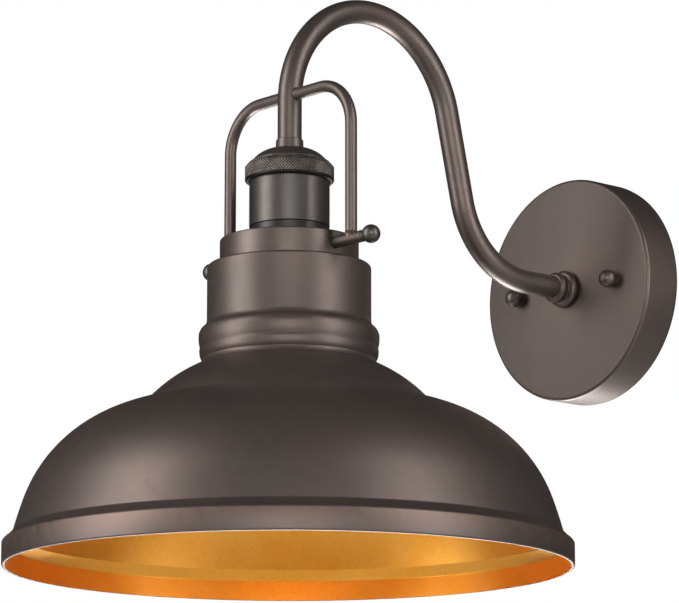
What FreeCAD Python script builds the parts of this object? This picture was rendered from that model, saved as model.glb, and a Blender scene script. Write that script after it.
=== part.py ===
# Outdoor wall lantern of the barn-light kind: a round wall plate, a gooseneck arm, a lamp
# head with a knurled ring, a twin bail and a spun shade that hangs mouth down.
#
# Frame: millimetres, +Z up.  The wall is the plane y = 0 and the lantern stands out
# from it along -Y.  The origin is the middle of the wall side of the plate.  The lamp's
# upright axis is the line x = 0, y = -reach, and the bail spans it along X.
#
# Heights of the lamp head are measured from the plate's middle.  For the parts that lie below
# it (neck_top, ridge_low, dome_low, rim_top, rim_low, skirt_low, collar_top, sleeve_low) the
# sheet holds the depth as a positive number, and the formulas put the minus sign.
import FreeCAD, Part
import math
import os
import re
import Sketcher

os.makedirs("parts", exist_ok=True)
doc = FreeCAD.newDocument("WallLantern")

# ---------------------------------------------------------------- driving dimensions
DIMENSIONS = [
    # wall plate, and what holds it to the wall
    ("plate_radius", 64.0), ("plate_depth", 24.1), ("plate_skin", 1.5), ("plate_edge", 2.0),
    ("gasket_thick", 1.2), ("gasket_width", 5.0),
    ("strap_length", 104.0), ("strap_width", 20.0), ("strap_thick", 2.0),
    ("box_spacing", 88.9), ("box_hole", 4.8), ("stud_spacing", 75.0), ("stud_radius", 2.0),
    ("nut_ball", 5.1), ("nut_foot", 4.0), ("nut_gap", 0.1), ("hex_flats", 7.0),
    ("washer_radius", 9.0), ("washer_thick", 1.2), ("lock_flats", 14.0), ("lock_thick", 4.0),
    ("earth_place", 18.0), ("earth_height", 4.0),
    # gooseneck arm
    ("tube_radius", 6.5), ("tube_bore", 5.4), ("reach", 233.5), ("tube_start", 46.6),
    ("arch_start", 73.8), ("arch_first", 61.7), ("arch_crown", 56.3), ("arch_last", 61.2),
    ("arch_turn", 167.0), ("low_bend", 50.3),
    ("collar_flange", 10.6), ("collar_bead", 8.7), ("collar_length", 11.8),
    ("nipple_radius", 5.0), ("nipple_bore", 3.6), ("nipple_end", 12.0),
    # lamp head
    ("ferrule_top", 52.9), ("cap_top", 47.7), ("cap_radius", 20.2), ("cap_edge", 41.0),
    ("ring_radius", 23.9), ("ring_top", 40.2), ("ring_low", 29.5),
    ("body_radius", 21.5), ("body_low", 4.8), ("skirt_radius", 20.9), ("skirt_low", 14.0),
    ("shell_radius", 13.2),
    ("collar_radius", 37.0), ("collar_top", 2.4), ("collar_skin", 1.5),
    # bail and thumbscrews
    ("rod_radius", 3.175), ("bail_height", 77.35), ("bail_half", 49.3), ("bail_bend", 24.4),
    ("rod_hole", 3.6), ("sleeve_end", 58.9), ("sleeve_low", 9.2), ("screw_radius", 2.0),
    ("screw_fit", 0.05), ("ball_radius", 4.9), ("ball_place", 64.8),
    # shade
    ("neck_radius", 43.6), ("neck_top", 16.4), ("shade_skin", 1.2), ("bead_radius", 47.9),
    ("ridge_radius", 78.0), ("ridge_low", 92.6), ("dome_low", 160.5), ("rim_radius", 149.5),
    ("rim_top", 164.4), ("rim_low", 177.5), ("rivet_circle", 39.75), ("rivet_radius", 1.5),
    # wires
    ("lead_radius", 1.05), ("lead_side", 1.4),
]
sheet = doc.addObject("Spreadsheet::Sheet", "Dims")
for row, (alias, value) in enumerate(DIMENSIONS, start=1):
    sheet.set("A%d" % row, alias)
    sheet.set("B%d" % row, str(value))
    sheet.setAlias("B%d" % row, alias)
doc.recompute()
WORDS = re.compile(r"\b(" + "|".join(alias for alias, value in DIMENSIONS) + r")\b")


def bound(formula):
    """A formula in the sheet's words, with each word made a reference to its cell."""
    return WORDS.sub(r"Dims.\1", str(formula))


def number(formula):
    """The present value of a formula in the sheet's words."""
    return float(sheet.evalExpression(bound(formula)))


# ---------------------------------------------------------------- sketch helpers
def new_body(label, place=("0", "0", "0")):
    """A body whose position is bound to the sheet."""
    body = doc.addObject("PartDesign::Body", label)
    body.Label = label
    for axis, formula in zip("xyz", place):
        body.setExpression("Placement.Base." + axis, bound(formula))
    return body


def new_sketch(body, plane, name, offset="0"):
    """A sketch on one of the body's own origin planes, moved along its normal."""
    sketch = body.newObject("Sketcher::SketchObject", body.Label + "_" + name)
    origin_plane = [f for f in body.Origin.OriginFeatures if f.Role == plane][0]
    sketch.AttachmentSupport = [(origin_plane, "")]
    sketch.MapMode = "FlatFace"
    sketch.setExpression("AttachmentOffset.Base.z", bound(offset))
    return sketch


def arc_through(start, end, radius, side):
    """The arc from start to end; side is +1 where it turns left, -1 where it turns right.
    Gives the arc and whether it runs backwards, as sketch arcs always turn left."""
    (ax, ay), (bx, by) = start, end
    chord = math.hypot(bx - ax, by - ay)
    height = math.sqrt(max(0.0, radius * radius - chord * chord / 4))
    cx = (ax + bx) / 2 - side * height * (by - ay) / chord
    cy = (ay + by) / 2 + side * height * (bx - ax) / chord
    first = math.atan2(ay - cy, ax - cx)
    last = math.atan2(by - cy, bx - cx)
    if side < 0:
        first, last = last, first
    circle = Part.Circle(FreeCAD.Vector(cx, cy, 0), FreeCAD.Vector(0, 0, 1), radius)
    return Part.ArcOfCircle(circle, first, last), side < 0


def draw(sketch, corners, closed=True):
    """Lines and arcs from corner to corner, every corner and radius bound to the sheet.
    A corner is (x, y) or (x, y, radius, side), where the last two describe the arc that
    arrives at it."""
    places = [(number(c[0]), number(c[1])) for c in corners]
    count = len(corners) if closed else len(corners) - 1
    first_end = {}
    last_end = {}
    for i in range(count):
        start, end = places[i], places[(i + 1) % len(corners)]
        corner = corners[(i + 1) % len(corners)]
        if len(corner) == 4:
            arc, backwards = arc_through(start, end, number(corner[2]), corner[3])
            geo = sketch.addGeometry(arc, False)
            held = sketch.addConstraint(Sketcher.Constraint("Radius", geo, number(corner[2])))
            sketch.setExpression("Constraints[%d]" % held, bound(corner[2]))
            first_end[i], last_end[i] = (2, 1) if backwards else (1, 2)
        else:
            line = Part.LineSegment(FreeCAD.Vector(*start, 0), FreeCAD.Vector(*end, 0))
            sketch.addGeometry(line, False)
            first_end[i], last_end[i] = 1, 2
    for i in range(count):
        if i > 0:
            sketch.addConstraint(
                Sketcher.Constraint("Coincident", i - 1, last_end[i - 1], i, first_end[i]))
        hold_point(sketch, i, first_end[i], corners[i])
    if closed:
        sketch.addConstraint(
            Sketcher.Constraint("Coincident", count - 1, last_end[count - 1], 0, first_end[0]))
    else:
        hold_point(sketch, count - 1, last_end[count - 1], corners[-1])


def hold_point(sketch, geo, end, corner):
    """Bind one end of a sketch line or arc to its two formulas."""
    for kind, formula in zip(("DistanceX", "DistanceY"), corner):
        held = sketch.addConstraint(
            Sketcher.Constraint(kind, -1, 1, geo, end, number(formula)))
        sketch.setExpression("Constraints[%d]" % held, bound(formula))


def draw_circles(sketch, circles):
    """Circles given as (x, y, radius), all bound to the sheet."""
    for x, y, radius in circles:
        centre = FreeCAD.Vector(number(x), number(y), 0)
        circle = Part.Circle(centre, FreeCAD.Vector(0, 0, 1), number(radius))
        geo = sketch.addGeometry(circle, False)
        held = sketch.addConstraint(Sketcher.Constraint("Radius", geo, number(radius)))
        sketch.setExpression("Constraints[%d]" % held, bound(radius))
        hold_point(sketch, geo, 3, (x, y))


# ---------------------------------------------------------------- feature helpers
def revolve(body, plane, corners, axis, name="outline"):
    """A turned solid: the outline turns a full circle about the sketch's own axis."""
    sketch = new_sketch(body, plane, name)
    draw(sketch, corners)
    turn = body.newObject("PartDesign::Revolution", body.Label + "_" + name + "_turn")
    turn.Profile = sketch
    turn.ReferenceAxis = (sketch, [axis])
    turn.Angle = 360
    return turn


def upright(label, corners):
    """A piece turned about the lamp's axis; corners are (radius, height)."""
    body = new_body(label, ("0", "-reach", "0"))
    revolve(body, "XZ_Plane", corners, "V_Axis")
    return body


def outward(label, corners, place=("0", "0", "0")):
    """A piece turned about an axis square to the wall; corners are (radius, y)."""
    body = new_body(label, place)
    revolve(body, "XY_Plane", corners, "V_Axis")
    return body


def cut_holes(body, plane, circles, name, midplane=True, length="400"):
    """Round holes cut square to a plane, with a check that they did cut."""
    doc.recompute()
    before = body.Shape.Volume
    sketch = new_sketch(body, plane, name)
    draw_circles(sketch, circles)
    pocket = body.newObject("PartDesign::Pocket", body.Label + "_" + name + "_cut")
    pocket.Profile = sketch
    pocket.Midplane = midplane
    pocket.setExpression("Length", bound(length))
    doc.recompute()
    if body.Shape.Volume > before - 0.5:
        raise RuntimeError(body.Label + ": " + name + " cut nothing")
    return pocket


def sweep(body, plane, path, rings, start_plane, start_offset, name="sweep"):
    """Sweep circles along a path; a second, smaller circle becomes the bore."""
    spine = new_sketch(body, plane, name + "_path")
    draw(spine, path, closed=False)
    doc.recompute()
    edges = ["Edge%d" % (i + 1) for i in range(len(spine.Shape.Edges))]
    kinds = ("PartDesign::AdditivePipe", "PartDesign::SubtractivePipe")
    for i, (kind, ring) in enumerate(zip(kinds, rings)):
        section = new_sketch(body, start_plane, "%s_ring%d" % (name, i), start_offset)
        draw_circles(section, [ring])
        pipe = body.newObject(kind, "%s_%s%d" % (body.Label, name, i))
        pipe.Profile = section
        pipe.Spine = (spine, edges)
        pipe.Mode = "Frenet"
    return spine


# ---------------------------------------------------------------- the arm's centre line
def arm_line(start="tube_start", end="plate_depth + 2.0"):
    """Corners (y, z) of the arm's centre line, from the lamp head up, over and back to
    the wall: a run, three arcs of the crown, a slanted run, the low bend and a run."""
    turned = "(arch_turn - 120)"
    up = ("-reach", start)
    arch = ("-reach", "arch_start")
    one_y = "-reach + arch_first * (1 - cos(60))"
    one_z = "arch_start + arch_first * sin(60)"
    two_y = one_y + " + arch_crown * (cos(60) - cos(120))"
    two_z = one_z + " + arch_crown * (sin(120) - sin(60))"
    three_y = two_y + " + arch_last * (cos(120) - cos(arch_turn))"
    three_z = two_z + " + arch_last * (sin(arch_turn) - sin(120))"
    drop = "low_bend * (1 - sin(arch_turn))"
    run = "((" + three_z + " - " + drop + ") / -cos(arch_turn))"
    four_y = three_y + " + " + run + " * sin(arch_turn)"
    five_y = four_y + " - low_bend * cos(arch_turn)"
    return [
        up, arch,
        (one_y, one_z, "arch_first", -1),
        (two_y, two_z, "arch_crown", -1),
        (three_y, three_z, "arch_last", -1),
        (four_y, drop),
        (five_y, "0", "low_bend", 1),
        ("-(" + end + ")", "0"),
    ]


# ---------------------------------------------------------------- wall side
def wall_plate():
    """A deep pressed dish with a soft front edge, holes for the arm and the two studs."""
    front = "-plate_depth"
    back = "-gasket_thick"
    inner = "plate_radius - plate_skin"
    body = outward("wall_plate", [
        ("nipple_radius + 0.2", front),
        ("plate_radius - plate_edge", front),
        ("plate_radius", front + " + plate_edge", "plate_edge", 1),
        ("plate_radius", back),
        (inner, back),
        (inner, front + " + plate_edge"),
        ("plate_radius - plate_edge", front + " + plate_skin", "plate_edge - plate_skin", -1),
        ("nipple_radius + 0.2", front + " + plate_skin"),
    ])
    hole = "stud_radius + 0.25"
    cut_holes(body, "XZ_Plane", [("stud_spacing / 2", "0", hole), ("-stud_spacing / 2", "0", hole)],
              "stud_holes")


def wall_gasket():
    """A flat rubber ring between the plate's rim and the wall."""
    outward("wall_gasket", [
        ("plate_radius - 0.3", "-gasket_thick"), ("plate_radius - 0.3", "0"),
        ("plate_radius - gasket_width", "0"), ("plate_radius - gasket_width", "-gasket_thick"),
    ])


def mounting_strap():
    """The flat steel bar that is screwed to the junction box and carries the studs."""
    body = new_body("mounting_strap")
    sketch = new_sketch(body, "XZ_Plane", "bar")
    long_half, wide_half = "strap_length / 2", "strap_width / 2"
    draw(sketch, [("-" + long_half, "-" + wide_half), (long_half, "-" + wide_half),
                  (long_half, wide_half), ("-" + long_half, wide_half)])
    pad = body.newObject("PartDesign::Pad", "mounting_strap_pad")
    pad.Profile = sketch
    pad.setExpression("Length", bound("strap_thick"))
    holes = [("box_spacing / 2", "0", "box_hole / 2"), ("-box_spacing / 2", "0", "box_hole / 2"),
             ("stud_spacing / 2", "0", "stud_radius + 0.05"),
             ("-stud_spacing / 2", "0", "stud_radius + 0.05"),
             ("0", "0", "nipple_radius + 0.2"), ("earth_place", "earth_height", "stud_radius + 0.05")]
    cut_holes(body, "XZ_Plane", holes, "holes")


def plain_solid(label, shape):
    """A piece made from a ready shape, such as several equal fasteners in one node."""
    piece = doc.addObject("Part::Feature", label)
    piece.Label = label
    piece.Shape = shape
    return piece


def rod_shape(radius, start, end):
    """A round bar between two points."""
    start, end = FreeCAD.Vector(*start), FreeCAD.Vector(*end)
    return Part.makeCylinder(radius, (end - start).Length, start, end - start)


def hex_shape(flats, thick, bore, centre, direction):
    """A hexagon nut with chamfered corners, its near face at centre."""
    axis = FreeCAD.Vector(*direction)
    across = Part.makePolygon([
        FreeCAD.Vector(flats / math.sqrt(3) * math.cos(math.radians(60 * i)),
                       flats / math.sqrt(3) * math.sin(math.radians(60 * i)), 0)
        for i in range(7)])
    nut = Part.Face(across).extrude(FreeCAD.Vector(0, 0, thick))
    corner = flats / math.sqrt(3)
    bevel = 0.12 * flats
    round_off = Part.makeCone(corner + 4 * bevel, corner - bevel * 0.7, thick)
    nut = nut.common(round_off)
    nut = nut.cut(Part.makeCylinder(bore, thick))
    turn = FreeCAD.Rotation(FreeCAD.Vector(0, 0, 1), axis)
    nut.Placement = FreeCAD.Placement(FreeCAD.Vector(*centre), turn)
    return nut


def plate_studs():
    """Two threaded studs that stand out from the strap through the plate."""
    half, radius = number("stud_spacing / 2"), number("stud_radius")
    tip = number("plate_depth") + 5.5
    plain_solid("plate_studs", Part.makeCompound([
        rod_shape(radius, (side * half, 0, 0), (side * half, -tip, 0)) for side in (-1, 1)]))


def stud_lock_nuts():
    """The two hexagon nuts that lock the studs in the strap."""
    half, thick = number("stud_spacing / 2"), 3.0
    plain_solid("stud_lock_nuts", Part.makeCompound([
        hex_shape(number("hex_flats"), thick, number("stud_radius + 0.05"),
                  (side * half, -number("strap_thick"), 0), (0, -1, 0)) for side in (-1, 1)]))


def ground_screw():
    """The pan-head earthing screw in the strap."""
    across, height = number("earth_place"), number("earth_height")
    place = FreeCAD.Vector(across, 0, height)
    thick = number("strap_thick")
    head_radius, head_high, slot_wide = 4.0, 2.2, 1.1
    shank = rod_shape(number("stud_radius"), (across, 0, height), (across, -thick - 0.2, height))
    head = Part.makeCylinder(head_radius, head_high, place + FreeCAD.Vector(0, -thick, 0),
                             FreeCAD.Vector(0, -1, 0))
    rim = [edge for edge in head.Edges if abs(edge.CenterOfMass.y + thick + head_high) < 0.01]
    head = head.makeFillet(0.8, rim)
    corner = FreeCAD.Vector(-head_radius - 0.5, -thick - head_high - 0.2, -slot_wide / 2)
    slot = Part.makeBox(2 * head_radius + 1, 1.2, slot_wide, place + corner)
    plain_solid("ground_screw", shank.fuse(head).cut(slot).removeSplitter())


def ball_nut(label, side):
    """A turned nut with a ball head, run down by hand against the plate."""
    face = "-(plate_depth + nut_gap)"
    middle = "-(plate_depth + 5.0)"
    foot_end = middle + " + sqrt(nut_ball ^ 2 - (nut_foot - 0.5) ^ 2)"
    bore = "stud_radius + screw_fit"
    outward(label, [
        (bore, face),
        (bore, "-(plate_depth + 6.0)"),
        ("0", "-(plate_depth + 6.0)"),
        ("0", middle + " - nut_ball"),
        ("nut_foot - 0.5", foot_end, "nut_ball", 1),
        ("nut_foot", foot_end + " + 0.3"),
        ("nut_foot", face),
    ], (str(side) + " * stud_spacing / 2", "0", "0"))


# ---------------------------------------------------------------- arm
def arm_tube():
    """The gooseneck: one bent tube with two side holes for the bail."""
    body = new_body("arm_tube")
    sweep(body, "YZ_Plane", arm_line(),
          [("0", "-reach", "tube_radius"), ("0", "-reach", "tube_bore")],
          "XY_Plane", "tube_start", "bend")
    cut_holes(body, "YZ_Plane", [("-reach", "bail_height", "rod_hole")], "bail_hole",
              length="4 * tube_radius")


def arm_collar():
    """A turned collar of two round beads where the arm meets the plate."""
    face = "-plate_depth"
    tip = "-(plate_depth + collar_length)"
    outward("arm_collar", [
        ("nipple_radius + 0.1", face),
        ("collar_flange - 2.6", face),
        ("collar_flange - 2.6", face + " - 5.2", "2.6", -1),
        ("collar_bead - 0.9", face + " - 5.5"),
        ("collar_bead - 0.9", face + " - 6.4"),
        ("collar_bead - 1.95", face + " - 6.6"),
        ("collar_bead - 1.95", tip, "2.71", -1),
        ("tube_radius + 0.05", tip),
        ("tube_radius + 0.05", face + " - 2.0"),
        ("nipple_radius + 0.1", face + " - 2.0"),
    ])


def arm_nipple():
    """The hollow screw that is brazed in the arm's end and passes through the plate."""
    shoulder = "-(plate_depth + 2.0)"
    outward("arm_nipple", [
        ("nipple_bore", "-nipple_end"), ("nipple_radius", "-nipple_end"),
        ("nipple_radius", shoulder), ("tube_bore - 0.02", shoulder),
        ("tube_bore - 0.02", shoulder + " - 14"), ("nipple_bore", shoulder + " - 14"),
    ])


def arm_fixing():
    """The washer and the lock nut that hold the arm's end to the plate, from inside."""
    inside = -number("plate_depth - plate_skin")
    bore, thick = number("nipple_radius") + 0.05, number("washer_thick")
    start, toward_wall = FreeCAD.Vector(0, inside, 0), FreeCAD.Vector(0, 1, 0)
    washer = Part.makeCylinder(number("washer_radius"), thick, start, toward_wall)
    washer = washer.cut(Part.makeCylinder(bore, thick, start, toward_wall))
    plain_solid("arm_washer", washer)
    plain_solid("arm_lock_nut", hex_shape(number("lock_flats"), number("lock_thick"), bore,
                                          (0, inside + thick, 0), (0, 1, 0)))


# ---------------------------------------------------------------- lamp head
def arm_ferrule():
    """The short tapered sleeve that finishes the arm on the cap."""
    upright("arm_ferrule", [
        ("tube_radius + 0.05", "cap_top"), ("7.55", "cap_top"),
        ("7.3", "ferrule_top - 0.4"), ("6.9", "ferrule_top", "0.4", 1),
        ("tube_radius + 0.05", "ferrule_top"),
    ])


def socket_cap():
    """The domed cap over the socket, with a rim that the knurled ring holds down."""
    skin, flat, rim = "1.3", "8.0", "21.35"
    inside = "cap_radius - " + skin
    upright("socket_cap", [
        ("tube_radius + 0.1", "cap_top"), (flat, "cap_top"),
        ("cap_radius", "cap_edge", "17.0", -1),
        ("cap_radius", "ring_top - 0.9"), (rim, "ring_top - 0.9"),
        (rim, "ring_top - 2.4"), (inside, "ring_top - 2.4"),
        (inside, "cap_edge - 0.3"),
        (flat, "cap_top - " + skin, "17.0 - " + skin, 1),
        ("tube_radius + 0.1", "cap_top - " + skin),
    ])


def knurled_ring():
    """The ring that screws the cap to the body; its outer face is the knurled band."""
    inner = "body_radius + 0.08"
    upright("knurled_ring", [
        (inner, "ring_low"), ("ring_radius - 1.5", "ring_low"),
        ("ring_radius", "ring_low + 1.5", "1.5", 1),
        ("ring_radius", "ring_top - 2.5"), ("21.6", "ring_top"),
        ("cap_radius + 0.08", "ring_top"), ("cap_radius + 0.08", "ring_top - 0.75"),
        (inner, "ring_top - 0.75"),
    ])


def socket_body():
    """The smooth metal shell of the socket."""
    upright("socket_body", [
        ("body_radius - 1.1", "body_low"), ("body_radius - 0.4", "body_low"),
        ("body_radius", "body_low + 0.4", "0.4", 1), ("body_radius", "ring_top - 2.5"),
        ("body_radius - 1.1", "ring_top - 2.5"),
    ])


def lampholder():
    """The moulded insulator: its skirt shows under the shell and its mouth takes the lamp."""
    inside, crown = "body_radius - 1.15", "36"
    mouth, floor = "14.6", "16"
    upright("lampholder", [
        ("0", crown), (inside, crown), (inside, "body_low - 0.1"),
        ("skirt_radius", "body_low - 0.1"), ("skirt_radius", "-collar_top"),
        ("skirt_radius - 1.0", "-collar_top"), ("skirt_radius - 1.0", "-skirt_low"),
        (mouth, "-skirt_low"), (mouth, floor), ("0", floor),
    ])


def screw_shell():
    """The brass shell that the lamp's cap screws into, with a flared lip at its mouth."""
    skin, top, lip, flare = "0.4", "12", "-10", "14.5"
    upright("screw_shell", [
        ("shell_radius", top), ("shell_radius + " + skin, top),
        ("shell_radius + " + skin, lip + " + 0.6"), (flare, lip + " + 0.2"),
        (flare, lip + " - 0.2"), ("shell_radius", lip + " + 0.2"),
    ])


def lamp_contacts():
    """The spring contact in the bottom of the socket, and the rivets that hold the parts."""
    upright("centre_contact", [
        ("0", "15.9"), ("4.5", "15.9"), ("4.5", "15.3"), ("3.0", "15.3"),
        ("1.8", "13.4"), ("0", "13.4"),
    ])
    axis = -number("reach")
    plain_solid("contact_rivets", Part.makeCompound([
        rod_shape(2.0, (side * 10, axis, 36), (side * 10, axis, 37.2)) for side in (-1, 1)]))


def fitter_collar():
    """The cup that carries the shade on its flange and the bail on its side."""
    top, low = "-collar_top", "-(neck_top + shade_skin)"
    inner = "collar_radius - collar_skin"
    flange = "neck_radius - shade_skin - 0.4"
    hole = "skirt_radius - 0.95"
    body = upright("fitter_collar", [
        (hole, top), ("collar_radius - 1.0", top), ("collar_radius", top + " - 1.0", "1.0", -1),
        ("collar_radius", low), (flange, low), (flange, low + " - collar_skin"),
        (inner, low + " - collar_skin"), (inner, top + " - collar_skin"),
        (hole, top + " - collar_skin"),
    ])
    cut_holes(body, "YZ_Plane", [("0", "-sleeve_low", "screw_radius + screw_fit")],
              "screw_holes")
    rivet_holes(body)


def rivet_holes(body):
    """Three holes on the rivet circle, patterned about the lamp's axis."""
    doc.recompute()
    sketch = new_sketch(body, "XY_Plane", "rivet")
    draw_circles(sketch, [("0", "rivet_circle", "rivet_radius + 0.05")])
    pocket = body.newObject("PartDesign::Pocket", body.Label + "_rivet_cut")
    pocket.Profile = sketch
    pocket.setExpression("Length", bound("neck_top + shade_skin + collar_skin + 1"))
    doc.recompute()
    around = body.newObject("PartDesign::PolarPattern", body.Label + "_rivet_pattern")
    around.Originals = [pocket]
    around.Axis = (sketch, ["N_Axis"])
    around.Angle = 360
    around.Occurrences = 3
    body.Tip = around
    doc.recompute()


def retaining_ring():
    """The ring nut on the lampholder's skirt that clamps the collar, inside the shade."""
    top = "-(collar_top + collar_skin)"
    upright("retaining_ring", [
        ("skirt_radius - 0.95", top), ("26.5", top), ("26.5", top + " - 3.7"),
        ("25.7", top + " - 4.5", "0.8", -1), ("skirt_radius - 0.95", top + " - 4.5"),
    ])


# ---------------------------------------------------------------- bail and thumbscrews
def bail(label, side):
    """Half of the bail: a bent rod from the arm's side to a cross sleeve on the collar."""
    body = new_body(label, ("0", "-reach", "0"))
    sign = "%d * " % side
    bend_start = sign + "(bail_half - bail_bend)"
    path = [
        (sign + "(tube_bore + 0.3)", "bail_height"),
        (bend_start, "bail_height"),
        (sign + "bail_half", "bail_height - bail_bend", "bail_bend", -side),
        (sign + "bail_half", "-sleeve_low"),
    ]
    sweep(body, "XZ_Plane", path, [("0", "bail_height", "rod_radius")],
          "YZ_Plane", sign + "(tube_bore + 0.3)", "rod")
    start, end = sign + "(collar_radius + 0.05)", sign + "sleeve_end"
    sleeve = new_sketch(body, "XZ_Plane", "sleeve")
    draw(sleeve, [(start, "-sleeve_low"), (end, "-sleeve_low"),
                  (end, "-sleeve_low + rod_radius - 0.3"),
                  (sign + "(sleeve_end - 0.3)", "-sleeve_low + rod_radius", "0.3", side),
                  (start, "-sleeve_low + rod_radius")])
    turn = body.newObject("PartDesign::Revolution", label + "_sleeve_turn")
    turn.Profile = sleeve
    turn.ReferenceAxis = (sleeve, ["Edge1"])
    turn.Angle = 360
    cut_holes(body, "YZ_Plane", [("0", "-sleeve_low", "screw_radius + screw_fit")],
              "screw_bore")


def thumbscrew(label, side):
    """A ball-headed screw through the sleeve into the collar; corners are (x, radius)."""
    body = new_body(label, ("0", "-reach", "-sleeve_low"))
    sign = "%d * " % side
    tip = sign + "(collar_radius - 4.5)"
    neck = "2.2"
    ball_start = sign + "(ball_place - sqrt(ball_radius ^ 2 - " + neck + " ^ 2))"
    revolve(body, "XY_Plane", [
        (tip, "0"), (tip, "screw_radius - 0.6"),
        (sign + "(collar_radius - 3.9)", "screw_radius"),
        (sign + "(sleeve_end + 0.1)", "screw_radius"), (sign + "(sleeve_end + 0.1)", "2.9"),
        (sign + "(sleeve_end + 0.7)", "2.9"), (ball_start, neck),
        (sign + "(ball_place + ball_radius)", "0", "ball_radius", -side),
    ], "H_Axis")


# ---------------------------------------------------------------- shade
def shade_skin_line(inset):
    """One face of the shade from the neck to the ridge, as (radius, height, arc...) corners.
    inset is 0 for the outer face and the skin's thickness for the inner one."""
    t = inset
    neck = "neck_radius - %s" % t
    return [
        (neck, "-46.4"),
        ("bead_radius - 1.6 - %s" % t, "-50.6", "5.5", 1),
        ("bead_radius - %s" % t, "-55.6", "6.5", -1),
        ("bead_radius - 0.8 - %s" % t, "-60.8", "14", -1),
        ("bead_radius - 0.5 - %s" % t, "-63.6", "4.5", -1),
        ("bead_radius - 1.7 - %s" % t, "-67.2", "6", -1),
        ("50.9 - %s" % t, "-71.9 - %s" % t, "5.2", 1),
        ("ridge_radius - 1.2 - 0.6 * %s" % t, "-(ridge_low - 0.5) - 0.8 * %s" % t, "80", -1),
    ]


def shade():
    """The spun shade: neck, bead, bell, stepped dome and rolled rim, one even skin."""
    skin, hip, foot = "shade_skin", "138.7", "144.0"
    outer = [
        ("collar_radius + 0.15", "-neck_top"), ("neck_radius - 1.5", "-neck_top"),
        ("neck_radius", "-(neck_top + 1.5)", "1.5", -1),
    ] + shade_skin_line("0") + [
        ("ridge_radius + 0.8", "-(ridge_low + 0.1)"),
        (hip, "-143.2", "76.5", -1),
        (foot, "-dome_low", "255", -1),
        ("rim_radius - 1.6", "-rim_top"),
        ("rim_radius", "-(rim_top + 1.6)", "2.6", -1),
        ("rim_radius", "-(rim_low - 1.0)"),
        ("rim_radius - 1.0", "-rim_low", "1.0", -1),
        ("rim_radius - 1.9", "-rim_low"),
    ]
    inner = [
        ("rim_radius - 1.9", "-(rim_top + 1.9)"),
        ("rim_radius - 2.6", "-(rim_top + 0.9)"),
        (foot + " - 1.3", "-(dome_low + 0.4)"),
        (hip + " - 1.13", "-143.6", "253.7", 1),
        ("ridge_radius + 0.6", "-(ridge_low + 1.35)", "75.3", 1),
    ] + [flip(corner, following) for corner, following in inner_pairs(skin)] + [
        ("neck_radius - " + skin, "-(neck_top + 1.5)"),
        ("neck_radius - 1.5", "-(neck_top + " + skin + ")", "1.5 - " + skin, 1),
        ("collar_radius + 0.15", "-(neck_top + " + skin + ")"),
    ]
    body = upright("shade", outer + inner)
    rivet_holes(body)


def inner_pairs(skin):
    """The inner face's corners from the ridge up to the neck, each with the corner that
    followed it on the way down, whose arc it now needs."""
    line = shade_skin_line(skin)
    pairs = []
    for i in range(len(line) - 1, -1, -1):
        following = line[i + 1] if i + 1 < len(line) else None
        pairs.append((line[i], following))
    return pairs


def flip(corner, following):
    """A corner of a line walked the other way: the arc that arrives is the old next one."""
    if following is None or len(following) < 4:
        return corner[:2]
    return (corner[0], corner[1], following[2], -following[3])


def shade_rivets():
    """Three rivets that join the shade's top to the collar's flange."""
    top, low = -number("neck_top"), -number("neck_top + shade_skin + collar_skin")
    circle, radius = number("rivet_circle"), number("rivet_radius")
    head_radius, head_high = 2.15, 1.1
    axis = FreeCAD.Vector(0, -number("reach"), 0)
    rivets = []
    for i in range(3):
        angle = math.radians(90 + 120 * i)
        foot = axis + FreeCAD.Vector(circle * math.cos(angle), circle * math.sin(angle), 0)
        rivet = Part.makeCylinder(radius, top - low, foot + FreeCAD.Vector(0, 0, low))
        for height, way in ((top, 1), (low, -1)):
            head = Part.makeCylinder(head_radius, head_high, foot + FreeCAD.Vector(0, 0, height),
                                     FreeCAD.Vector(0, 0, way))
            rim = [edge for edge in head.Edges
                   if abs(edge.CenterOfMass.z - height - way * head_high) < 0.01]
            rivet = rivet.fuse(head.makeFillet(0.8, rim))
        rivets.append(rivet.removeSplitter())
    plain_solid("shade_rivets", Part.makeCompound(rivets))


# ---------------------------------------------------------------- wires inside
def lead(label, side):
    """One insulated lead: up from the lampholder through the arm, out of the nipple into
    the plate's hollow and sideways to its connector."""
    body = new_body(label, (str(side) + " * lead_side", "0", "0"))
    run = sweep(body, "YZ_Plane", arm_line("36", "nipple_end - 1.0"),
                [("0", "-reach", "lead_radius")], "XY_Plane", "36", "run")
    doc.recompute()
    length = run.Shape.Length
    bends = [edge.Curve.Radius for edge in run.Shape.Edges if hasattr(edge.Curve, "Radius")]
    expected = math.pi * number("lead_radius") ** 2 * length
    print("%s: length %.1f mm, bend radii %s mm, volume %.1f mm3 against %.1f expected" % (
        label, length, [round(radius, 1) for radius in bends], body.Shape.Volume, expected))
    if abs(body.Shape.Volume / expected - 1) > 0.01:
        raise RuntimeError(label + ": the tube's volume isn't section times length")


def wire_connectors():
    """The two twist-on connectors that close the leads' ends, inside the plate."""
    start = -number("nipple_end - 1.0")
    caps = []
    for side in (-1, 1):
        foot = FreeCAD.Vector(side * number("lead_side + 2.3"), start, 0)
        cap = Part.makeCone(3.4, 2.6, 7.5, foot, FreeCAD.Vector(0, 1, 0))
        caps.append(cap)
    plain_solid("wire_connectors", Part.makeCompound(caps))


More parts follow.
